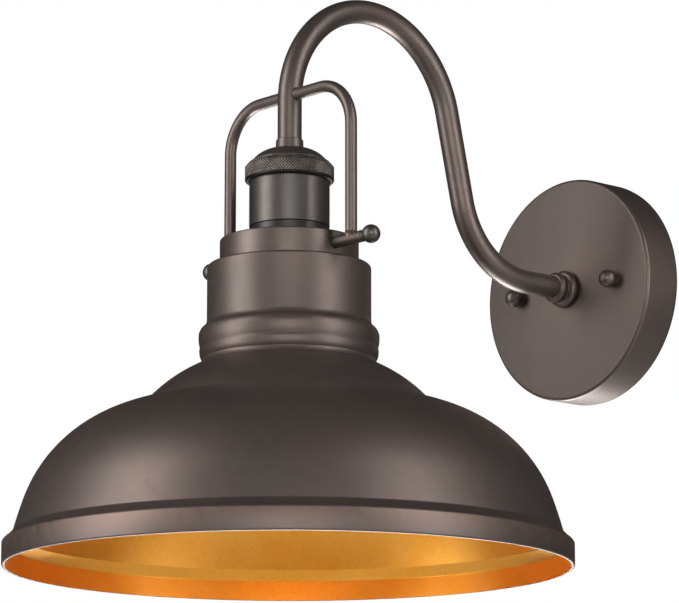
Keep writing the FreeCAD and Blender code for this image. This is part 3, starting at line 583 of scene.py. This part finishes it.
def knurling(name):
    tree, given = new_tree(name, [
        ("Points Round", "NodeSocketFloat", KNURL_POINTS), ("Radius", "NodeSocketFloat", 23.9 * MM),
        ("Depth", "NodeSocketFloat", 0.6 * MM), ("Bottom", "NodeSocketFloat", 31.0 * MM),
        ("Inner Radius", "NodeSocketFloat", 21.8 * MM), ("Axis Y", "NodeSocketFloat", LAMP_Y * MM),
        ("Material", "NodeSocketMaterial", None)])
    here = add(tree, "ShaderNodeSeparateXYZ",
               {0: add(tree, "GeometryNodeInputPosition").outputs[0]}).outputs
    y = add(tree, "ShaderNodeMath", {0: here[1], 1: given["Axis Y"]}, operation="SUBTRACT").outputs[0]
    angle = add(tree, "ShaderNodeMath", {0: y, 1: here[0]}, operation="ARCTAN2").outputs[0]
    half = add(tree, "ShaderNodeMath", {0: given["Points Round"], 1: 0.5},
               operation="MULTIPLY").outputs[0]
    per_metre = add(tree, "ShaderNodeMath", {0: half, 1: given["Radius"]},
                    operation="DIVIDE").outputs[0]
    round_way = add(tree, "ShaderNodeMath", {0: angle, 1: half}, operation="MULTIPLY").outputs[0]
    up_way = add(tree, "ShaderNodeMath", {0: here[2], 1: per_metre}, operation="MULTIPLY").outputs[0]
    grooves = []
    for lean in ("ADD", "SUBTRACT"):
        phase = add(tree, "ShaderNodeMath", {0: round_way, 1: up_way}, operation=lean).outputs[0]
        wave = add(tree, "ShaderNodeMath", {0: phase}, operation="SINE").outputs[0]
        grooves.append(add(tree, "ShaderNodeMath", {0: wave}, operation="ABSOLUTE").outputs[0])
    crossed = add(tree, "ShaderNodeMath", dict(enumerate(grooves)), operation="MINIMUM").outputs[0]
    spread = add(tree, "ShaderNodeCombineXYZ", {0: here[0], 1: y}).outputs[0]
    radius = add(tree, "ShaderNodeVectorMath", {0: spread}, operation="LENGTH").outputs["Value"]
    above = add(tree, "ShaderNodeMath", {0: here[2], 1: given["Bottom"]},
                operation="GREATER_THAN").outputs[0]
    outer = add(tree, "ShaderNodeMath", {0: radius, 1: given["Inner Radius"]},
                operation="GREATER_THAN").outputs[0]
    band = add(tree, "ShaderNodeMath", {0: above, 1: outer}, operation="MULTIPLY").outputs[0]
    below_top = add(tree, "ShaderNodeMath", {0: crossed, 1: 1.0}, operation="SUBTRACT").outputs[0]
    depth = add(tree, "ShaderNodeMath", {0: given["Depth"], 1: band}, operation="MULTIPLY").outputs[0]
    sink = add(tree, "ShaderNodeMath", {0: below_top, 1: depth}, operation="MULTIPLY").outputs[0]
    normal = add(tree, "GeometryNodeInputNormal").outputs[0]
    push = add(tree, "ShaderNodeVectorMath", {0: normal, "Scale": sink},
               operation="SCALE").outputs[0]
    # The points' pale colour is a painted highlight, stored in the attribute that elsewhere marks edge
    # wear.
    crest = add(tree, "ShaderNodeMath", {0: crossed, 1: 2.0}, operation="POWER").outputs[0]
    crest_highlight = add(tree, "ShaderNodeMath", {0: band, 1: crest}, operation="MULTIPLY").outputs[0]
    marked = add(tree, "GeometryNodeStoreNamedAttribute",
                 {"Geometry": given["Geometry"], "Name": "rub_and_highlight", "Value": crest_highlight},
                 data_type="FLOAT", domain="POINT").outputs[0]
    moved = add(tree, "GeometryNodeSetPosition", {"Geometry": marked, "Offset": push}).outputs[0]
    end_tree(tree, moved, given["Material"])
    return tree


knurl = knurling("knurling")
print("knurling tree nodes:", len(knurl.nodes))

# %% [markdown]
# The ring that goes in is a plain turned one, but with very short steps where the points will
# stand: six to each point round the ring, and every quarter millimetre up its face.

# %% The knurled ring
STEPS_ROUND = 6 * KNURL_POINTS
knurled_face = along_drawing([(23.9, 31.0), (23.9, 37.7), (21.6, 40.2)], 0.24, split=True)
ring_rest = along_drawing([(20.28, 40.2), (20.28, 39.45), (21.58, 39.45), (21.58, 29.5),
                           (22.4, 29.5), (23.9, 31.0, 1.5, 1)])
ring = turned("knurled_clamp_ring", knurled_face + ring_rest[:-1], [bronze_metal],
              steps=STEPS_ROUND)
run_tree(ring, knurl, Material=knurled_metal)
place(ring, "ring", "bronze_metal", "knurled_ring")

# %% [markdown]
# ## The screw shell
#
# The brass shell that takes the lamp is thin sheet rolled into a thread.  The same idea works
# again: a wave that climbs as it goes round moves the sheet in and out.  The pitch of this
# common thread is 3.6 mm, and the wave fades out towards the flared lip.

# %% The rolled thread tree
def rolled_thread(name):
    tree, given = new_tree(name, [
        ("Pitch", "NodeSocketFloat", 3.63 * MM), ("Depth", "NodeSocketFloat", 0.6 * MM),
        ("Top", "NodeSocketFloat", 11.0 * MM), ("Bottom", "NodeSocketFloat", -7.5 * MM),
        ("Axis Y", "NodeSocketFloat", LAMP_Y * MM), ("Material", "NodeSocketMaterial", None)])
    here = add(tree, "ShaderNodeSeparateXYZ",
               {0: add(tree, "GeometryNodeInputPosition").outputs[0]}).outputs
    y = add(tree, "ShaderNodeMath", {0: here[1], 1: given["Axis Y"]}, operation="SUBTRACT").outputs[0]
    angle = add(tree, "ShaderNodeMath", {0: y, 1: here[0]}, operation="ARCTAN2").outputs[0]
    turns = add(tree, "ShaderNodeMath", {0: here[2], 1: given["Pitch"]},
                operation="DIVIDE").outputs[0]
    climb = add(tree, "ShaderNodeMath", {0: turns, 1: 2 * math.pi}, operation="MULTIPLY").outputs[0]
    phase = add(tree, "ShaderNodeMath", {0: climb, 1: angle}, operation="ADD").outputs[0]
    size = add(tree, "ShaderNodeMath", {0: phase}, operation="SINE").outputs[0]
    fades = []
    for end, run in (("Bottom", 2.0 * MM), ("Top", -1.0 * MM)):
        full = add(tree, "ShaderNodeMath", {0: given[end], 1: run}, operation="ADD").outputs[0]
        fades.append(add(tree, "ShaderNodeMapRange",
                         {0: here[2], 1: given[end], 2: full}).outputs[0])
    for factor in [given["Depth"]] + fades:
        size = add(tree, "ShaderNodeMath", {0: size, 1: factor}, operation="MULTIPLY").outputs[0]
    flat = add(tree, "ShaderNodeCombineXYZ", {0: here[0], 1: y}).outputs[0]
    way = add(tree, "ShaderNodeVectorMath", {0: flat}, operation="NORMALIZE").outputs[0]
    push = add(tree, "ShaderNodeVectorMath", {0: way, "Scale": size}, operation="SCALE").outputs[0]
    moved = add(tree, "GeometryNodeSetPosition",
                {"Geometry": given["Geometry"], "Offset": push}).outputs[0]
    end_tree(tree, moved, given["Material"])
    return tree


thread = rolled_thread("rolled_thread")
print("thread tree nodes:", len(thread.nodes))

# %% [markdown]
# The shell that goes in is a plain thin tube with a flared lip, cut into short steps.

# %% The screw shell
sheet_up = along_drawing([(13.2, 12.0), (13.6, 12.0), (13.6, -9.4), (14.5, -9.8), (14.5, -10.2),
                          (13.2, -9.8), (13.2, 11.9)], 0.45, split=True)
screw_shell = turned("rolled_thread_shell", sheet_up, [brass], steps=96)
run_tree(screw_shell, thread, Material=brass)
place(screw_shell, "fixture", "brass", "screw_shell")

# %% [markdown]
# ## The gooseneck arm and the bail: bent bar
#
# A tube bender works from a centre line: so much straight, an arc of such a radius, straight
# again.  The tree for it is Blender's own way of saying this: turn the line into a curve, cut
# it into short steps, and carry a circle along it.  One tree bends the arm and both halves of
# the bail, with only the radius changed.

# %% The bending tree
BEND_STEP = math.radians(1.5)


def bent_bar(name):
    tree, given = new_tree(name, [
        ("Radius", "NodeSocketFloat", 6.5 * MM), ("Sides", "NodeSocketInt", 48),
        ("Step", "NodeSocketFloat", 1.5 * MM), ("Material", "NodeSocketMaterial", None)])
    line = add(tree, "GeometryNodeMeshToCurve", {0: given["Geometry"]}).outputs[0]
    steps = add(tree, "GeometryNodeResampleCurve", {"Curve": line, "Length": given["Step"]},
                mode="LENGTH").outputs[0]
    circle = add(tree, "GeometryNodeCurvePrimitiveCircle",
                 {"Resolution": given["Sides"], "Radius": given["Radius"]}).outputs[0]
    bar = add(tree, "GeometryNodeCurveToMesh",
              {"Curve": steps, "Profile Curve": circle, "Fill Caps": True}).outputs[0]
    smooth = add(tree, "GeometryNodeSetShadeSmooth", {"Geometry": bar}).outputs[0]
    end_tree(tree, smooth, given["Material"])
    return tree


def centre_line(name, points):
    """A mesh of one long chain of edges, which the bending tree follows."""
    mesh = bpy.data.meshes.new(name)
    mesh.from_pydata([tuple(np.array(p) * MM) for p in points],
                     [(i, i + 1) for i in range(len(points) - 1)], [])
    obj = bpy.data.objects.new(name, mesh)
    bpy.context.scene.collection.objects.link(obj)
    return obj


def bend_steps(start, heading, moves):
    """A centre line from its moves: a number is a straight run, a pair is (radius, degrees)
    of a bend, left if positive."""
    x, y = start
    points = [start]
    for move in moves:
        if isinstance(move, tuple):
            radius, turn = move[0], math.radians(move[1])
            side = 1 if turn > 0 else -1
            cx, cy = x - side * radius * math.sin(heading), y + side * radius * math.cos(heading)
            count = max(2, math.ceil(abs(turn) / BEND_STEP))
            for i in range(1, count + 1):
                now = heading + turn * i / count
                points.append((cx + side * radius * math.sin(now), cy - side * radius * math.cos(now)))
            heading += turn
        else:
            points.append((x + move * math.cos(heading), y + move * math.sin(heading)))
        x, y = points[-1]
    return points


bending = bent_bar("bent_bar")
print("bending tree nodes:", len(bending.nodes))

# %% [markdown]
# The arm rises from the ferrule, turns over in three arcs of slightly different radius (a hand
# bender never gives one perfect arc), runs down straight at a slant and turns out to the wall.
# In all it turns 167 degrees one way and 77 the other.

# %% The gooseneck arm
FIRST, CROWN, LAST, LOW = 61.7, 56.3, 61.2, 50.3
head = bend_steps((LAMP_Y, 46.6), math.pi / 2, [27.2, (FIRST, -60), (CROWN, -60), (LAST, -47)])
slope = math.radians(167)
drop = LOW * (1 - math.sin(slope))
slant = (head[-1][1] - drop) / -math.cos(slope)
arm_points = head + bend_steps(head[-1], math.pi / 2 - slope, [slant, (LOW, 77)])[1:]
arm_points.append((-26.1, 0.0))
print("arm's last bend ends at", [round(v, 2) for v in arm_points[-2]], "length",
      round(sum(math.dist(a, b) for a, b in zip(arm_points, arm_points[1:])), 1), "mm")
arm = centre_line("gooseneck_arm", [(0, y, z) for y, z in arm_points])
run_tree(arm, bending, Radius=6.5 * MM, Sides=64, Step=1.6 * MM, Material=bronze_enamel)

# %% [markdown]
# The bail enters the arm through a hole on each side, drilled a little large.  A Boolean
# modifier drills them, and stops inside the tube's wall.

# %% The holes for the bail
HOLE, BAIL_Z = 3.6, 77.35
for side in (-1, 1):
    drill = turned("drill", [(0, side * 5.4), (HOLE, side * 5.4), (HOLE, side * 9), (0, side * 9)],
                   [bronze_enamel], centre=(0, LAMP_Y, BAIL_Z), axis="X", steps=48)
    cut = arm.modifiers.new("bail hole", "BOOLEAN")
    cut.object, cut.operation, cut.solver = drill, "DIFFERENCE", "EXACT"
    bpy.context.view_layer.update()
    drilled = bpy.data.meshes.new_from_object(
        arm.evaluated_get(bpy.context.evaluated_depsgraph_get()))
    arm.modifiers.clear()
    arm.data = drilled
    bpy.data.objects.remove(drill)
arm.data.name = arm.name
arm.data.set_sharp_from_angle(angle=math.radians(40))
wear_edges(arm)
place(arm, "fixture", "bronze_enamel", "arm_tube")

# %% [markdown]
# ## The two halves of the bail
#
# Each half is 1/4 inch bar: out of the arm, a bend of 24.4 mm, and down to a short cross
# sleeve.  The sleeve is welded to the bar's foot, and the weld is ground to a small fillet,
# which is a turned ring here.

# %% The bail
SIDES = ((-1, "left"), (1, "right"))
ROD, BAIL_HALF, BAIL_BEND, SLEEVE_Z, SLEEVE_END = 3.175, 49.3, 24.4, -9.2, 58.9


def joined(name, *objs):
    """Several meshes as one object."""
    with bpy.context.temp_override(active_object=objs[0], selected_editable_objects=list(objs)):
        bpy.ops.object.join()
    objs[0].name = objs[0].data.name = name
    return objs[0]


for side, which in SIDES:
    flat = bend_steps((5.7, BAIL_Z), 0.0,
                      [BAIL_HALF - BAIL_BEND - 5.7, (BAIL_BEND, -90), BAIL_Z - BAIL_BEND - SLEEVE_Z])
    rod = centre_line("bail_rod", [(side * x, LAMP_Y, z) for x, z in flat])
    run_tree(rod, bending, Radius=ROD * MM, Sides=40, Step=1.2 * MM, Material=bronze_enamel)
    wear_edges(rod)
    sleeve = turned("bail_sleeve", break_corners([
        (2.05, side * 37.05), (ROD, side * 37.05), (ROD, side * SLEEVE_END),
        (2.05, side * SLEEVE_END)], 0.3), [bronze_enamel],
        centre=(0, LAMP_Y, SLEEVE_Z), axis="X", steps=48)
    weld = turned("bail_weld", along_drawing([
        (2.4, 0.4), (4.1, 1.9), (3.35, 2.5, 1.1, -1), (3.22, 3.9), (2.4, 3.9)]),
        [bronze_enamel], centre=(side * BAIL_HALF, LAMP_Y, SLEEVE_Z), steps=40)
    half = joined("bail_half_" + which, rod, sleeve, weld)
    place(half, "fixture", "bronze_enamel", "bail_" + which)

# %% [markdown]
# ## Thumbscrews and ball nuts
#
# The four ball-headed fasteners are turned from bar.  A ball that meets its neck needs its
# outline to stop short of the axis by exactly the neck's radius, which Pythagoras gives.  The
# corner where ball and neck meet stays sharp, so the round made there is left out.

# %% The thumbscrews
BALL, BALL_X, NECK = 4.9, 64.8, 2.2
reach = math.sqrt(BALL ** 2 - NECK ** 2)
for side, which in SIDES:
    drawing = [(0, 32.5), (1.4, 32.5), (2.0, 33.1), (2.0, 59.0), (2.9, 59.0), (2.9, 59.6),
               (NECK, BALL_X - reach)]
    ball = [(BALL * math.sin(a), BALL_X - BALL * math.cos(a)) for a in
            np.linspace(math.asin(NECK / BALL), math.pi, 25)[1:]]
    ball[-1] = (0, BALL_X + BALL)
    points = break_corners(drawing, 0.15)[:-ROUNDED] + [drawing[-1]] + ball
    screw = turned("ball_thumbscrew_" + which, [(r, side * h) for r, h in points],
                   [bronze_metal], centre=(0, LAMP_Y, SLEEVE_Z), axis="X", steps=64)
    place(screw, which + "_screw", "bronze_metal", "thumbscrew_" + which)

# %% [markdown]
# The nuts sit 0.1 mm off the plate, run down by hand.  Their blind holes end 30.1 mm from the
# wall, half a millimetre past the studs' tips.

# %% The ball nuts
NUT_BALL, NUT_FOOT, NUT_MIDDLE = 5.1, 4.0, -29.1
for side, which in SIDES:
    start = math.pi - math.asin((NUT_FOOT - 0.5) / NUT_BALL)
    ball = [(NUT_BALL * math.sin(a), NUT_MIDDLE - NUT_BALL * math.cos(a)) for a in
            np.linspace(0.0, start, 25)]
    ball[0] = (0, NUT_MIDDLE - NUT_BALL)
    foot = [(NUT_FOOT, ball[-1][1] + 0.3), (NUT_FOOT, -24.2), (2.05, -24.2), (2.05, -30.1), (0, -30.1)]
    nut = turned("ball_nut_turned_" + which, ball + break_corners(foot, 0.1)[ROUNDED:],
                 [bronze_enamel], centre=(side * 37.5, 0, 0), axis="Y", steps=64)
    place(nut, which + "_nut", "bronze_enamel", "ball_nut_" + which)

# %% [markdown]
# ## The rivets of the shade
#
# Three rivets join the shade to the collar's foot.  Their upper heads are set almost flush and
# painted over with the shade, and their lower heads show as small domes inside.  A rivet is
# turned once, and a tree puts a copy on each point of a circle, which is how anything that
# repeats round an axis is best made: move the circle, and all of them follow.

# %% The riveting tree
def set_round(name):
    tree, given = new_tree(name, [
        ("Count", "NodeSocketInt", 3), ("Radius", "NodeSocketFloat", 39.75 * MM),
        ("Turn", "NodeSocketFloat", math.pi / 2), ("Axis Y", "NodeSocketFloat", LAMP_Y * MM),
        ("Material", "NodeSocketMaterial", None)])
    circle = add(tree, "GeometryNodeMeshCircle",
                 {"Vertices": given["Count"], "Radius": given["Radius"]}).outputs[0]
    turn = add(tree, "ShaderNodeCombineXYZ", {2: given["Turn"]}).outputs[0]
    middle = add(tree, "ShaderNodeCombineXYZ", {1: given["Axis Y"]}).outputs[0]
    placed = add(tree, "GeometryNodeTransform", {"Geometry": circle, "Translation": middle,
                                                 "Rotation": turn}).outputs[0]
    copies = add(tree, "GeometryNodeInstanceOnPoints",
                 {"Points": placed, "Instance": given["Geometry"]}).outputs[0]
    end_tree(tree, copies, given["Material"])
    return tree


riveting = set_round("set_round")
print("riveting tree nodes:", len(riveting.nodes))

# %% [markdown]
# The one rivet that goes in stands on the upright line through the origin, at the height that
# it will keep.

# %% The rivets
rivets = turned("set_shade_rivets", [
    (0, -20.2), (0.8, -20.15), (1.5, -19.85), (2.0, -19.4), (2.15, -19.12), (1.5, -19.1),
    (1.5, -16.42), (2.1, -16.38), (2.0, -16.15), (1.2, -16.03), (0, -16.0)],
    [shade_enamel], centre=(0, 0, 0), steps=32)
run_tree(rivets, riveting, Material=shade_enamel)
place(rivets, "fixture", "zinc_steel", "shade_rivets")

# %% [markdown]
# ## What stays as it was built
#
# The strap, studs, nuts, washers, gasket, contacts, leads and connectors already have the
# right shape.  They only need a real finish, which goes into the slots they came with.

# %% Finishes for the pieces that stay
FINISHES = {"brass": brass, "zinc_steel": zinc_steel, "green_zinc": green_zinc,
            "black_rubber": rubber, "black_wire": black_wire, "white_wire": white_wire,
            "connector_nylon": nylon}
kept = [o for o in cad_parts.values() if not o.hide_render]
for obj in kept:
    for slot in obj.material_slots:
        slot.material = FINISHES[slot.material.name]
print("kept as built:", sorted(o.name for o in kept))

# %% [markdown]
# ## Floor
#
# The lantern is looked at from a little below, as it is on a wall, so the floor is a wide pale
# sheet far under it.  Its shader first asks whether a ray comes from the eye.  To the lamps it
# is an ordinary pale floor.  To the eye it is evenly pale from above, and from below it isn't
# there, so that the lantern can be looked at from every side.

# %% The floor
FLOOR_HALF, FLOOR_Z = 6.0, -1.1
floor_mesh = bpy.data.meshes.new("floor")
floor_mesh.from_pydata([(x * FLOOR_HALF, y * FLOOR_HALF, FLOOR_Z)
                        for x, y in ((-1, -1), (1, -1), (1, 1), (-1, 1))], [], [(0, 1, 2, 3)])
floor = bpy.data.objects.new("floor", floor_mesh)
bpy.context.scene.collection.objects.link(floor)
pale_floor = stock("pale_floor", "#e6e6e4", "#ececea", 0.0, 0.8, 3.0, depth=0.01)
floor_mesh.materials.append(pale_floor)

paint = pale_floor.node_tree
last = next(node for node in paint.nodes if node.type == "OUTPUT_MATERIAL")
lit = last.inputs["Surface"].links[0].from_socket
pale = add(paint, "ShaderNodeEmission", {"Color": linear("#ebebe9"), "Strength": 1.0})
clear = add(paint, "ShaderNodeBsdfTransparent")
under = add(paint, "ShaderNodeNewGeometry").outputs["Backfacing"]
shown = add(paint, "ShaderNodeMixShader", {0: under, 1: pale.outputs[0], 2: clear.outputs[0]})
eye = add(paint, "ShaderNodeLightPath").outputs["Is Camera Ray"]
either = add(paint, "ShaderNodeMixShader", {0: eye, 1: lit, 2: shown.outputs[0]})
paint.links.new(either.outputs[0], last.inputs["Surface"])
print("floor half a side, m:", FLOOR_HALF, "height, m:", FLOOR_Z)

# %% [markdown]
# ## Sky
#
# A metal shows whatever surrounds it, so a white sky would wash the bronze out.  The sky is
# white to the eye but dim to the metal, and dimmest behind, which keeps the dark edges.

# %% The sky
SKY_FRONT, SKY_BEHIND = 0.17, 0.01
SKY_WAY = (0.73, -0.65, -0.2)
sky = bpy.data.worlds.new("soft_sky")
bpy.context.scene.world = sky
sky.use_nodes = True
air = sky.node_tree
air.nodes.clear()
around = add(air, "ShaderNodeTexCoord").outputs["Generated"]
way = add(air, "ShaderNodeVectorMath", {0: around, 1: SKY_WAY},
          operation="DOT_PRODUCT").outputs["Value"]
level = add(air, "ShaderNodeMapRange",
            {0: way, 1: -1.0, 2: 1.0, 3: SKY_BEHIND, 4: SKY_FRONT}).outputs[0]
dim = add(air, "ShaderNodeBackground", {"Color": linear("#ffffff"), "Strength": level})
white = add(air, "ShaderNodeBackground", {"Color": linear("#ffffff"), "Strength": 1.0})
eye = add(air, "ShaderNodeLightPath").outputs["Is Camera Ray"]
both = add(air, "ShaderNodeMixShader", {0: eye, 1: dim.outputs[0], 2: white.outputs[0]})
add(air, "ShaderNodeOutputWorld", {"Surface": both.outputs[0]})
bpy.context.scene.view_settings.view_transform = "Standard"
print("sky strength for the metal:", SKY_FRONT, "in front,", SKY_BEHIND, "behind")

# %% [markdown]
# ## Lamps
#
# Satin metal draws each lamp as a soft band, so every lamp is a large rectangle.  A tall key
# on the left is the main light, and a tall, weaker fill on the right keeps the dark side
# readable.  A wide one from the camera's side evens the two, and a low one behind lifts the
# gold through the shade's mouth.

# %% The lamps
TARGET = Vector((0, -0.20, -0.05))


def soft_lamp(name, azimuth, elevation, distance, width, height, watts):
    """A soft box that looks at the lantern; azimuth 0 is in front of the wall."""
    a, e = math.radians(azimuth), math.radians(elevation)
    way = Vector((math.sin(a) * math.cos(e), -math.cos(a) * math.cos(e), math.sin(e)))
    data = bpy.data.lights.new(name, "AREA")
    data.shape, data.size, data.size_y = "RECTANGLE", width, height
    data.energy = watts
    lamp = bpy.data.objects.new(name, data)
    lamp.location = TARGET + way * distance
    lamp.rotation_euler = way.to_track_quat("Z", "Y").to_euler()
    lamp.visible_camera = False
    bpy.context.scene.collection.objects.link(lamp)


soft_lamp("key", -23, 14, 2.0, 0.9, 2.4, 38)
soft_lamp("fill", 105, 14, 2.0, 0.7, 2.4, 27)
soft_lamp("front", 48, 4, 2.3, 1.4, 0.9, 17)
soft_lamp("low", 228, -45, 1.4, 0.7, 0.7, 32)

# %% [markdown]
# ## Camera
#
# The camera stands 2 m from the plate, 48 degrees round to the right and 11.5 degrees below,
# with a long lens so that the round pieces stay calm.  Its three directions are worked out
# from the two angles and become the columns of its matrix.

# %% The camera
AZIMUTH, ELEVATION = math.radians(48.331), math.radians(-11.534)
SPOT = Vector((1361.51 * MM, -1409.49 * MM, -402.31 * MM))
back = Vector((math.sin(AZIMUTH) * math.cos(ELEVATION), -math.cos(AZIMUTH) * math.cos(ELEVATION),
               math.sin(ELEVATION)))
right = Vector((math.cos(AZIMUTH), math.sin(AZIMUTH), 0))
up = back.cross(right)
camera = bpy.data.objects.new("camera", bpy.data.cameras.new("camera"))
camera.data.sensor_width = 36.0
camera.data.lens = 183.5
camera.matrix_world = Matrix((*zip(right, up, back, SPOT), (0, 0, 0, 1)))
bpy.context.scene.collection.objects.link(camera)
bpy.context.scene.camera = camera
print("camera at", [round(v, 3) for v in camera.location], "m; from the plate",
      round(SPOT.length, 2), "m")
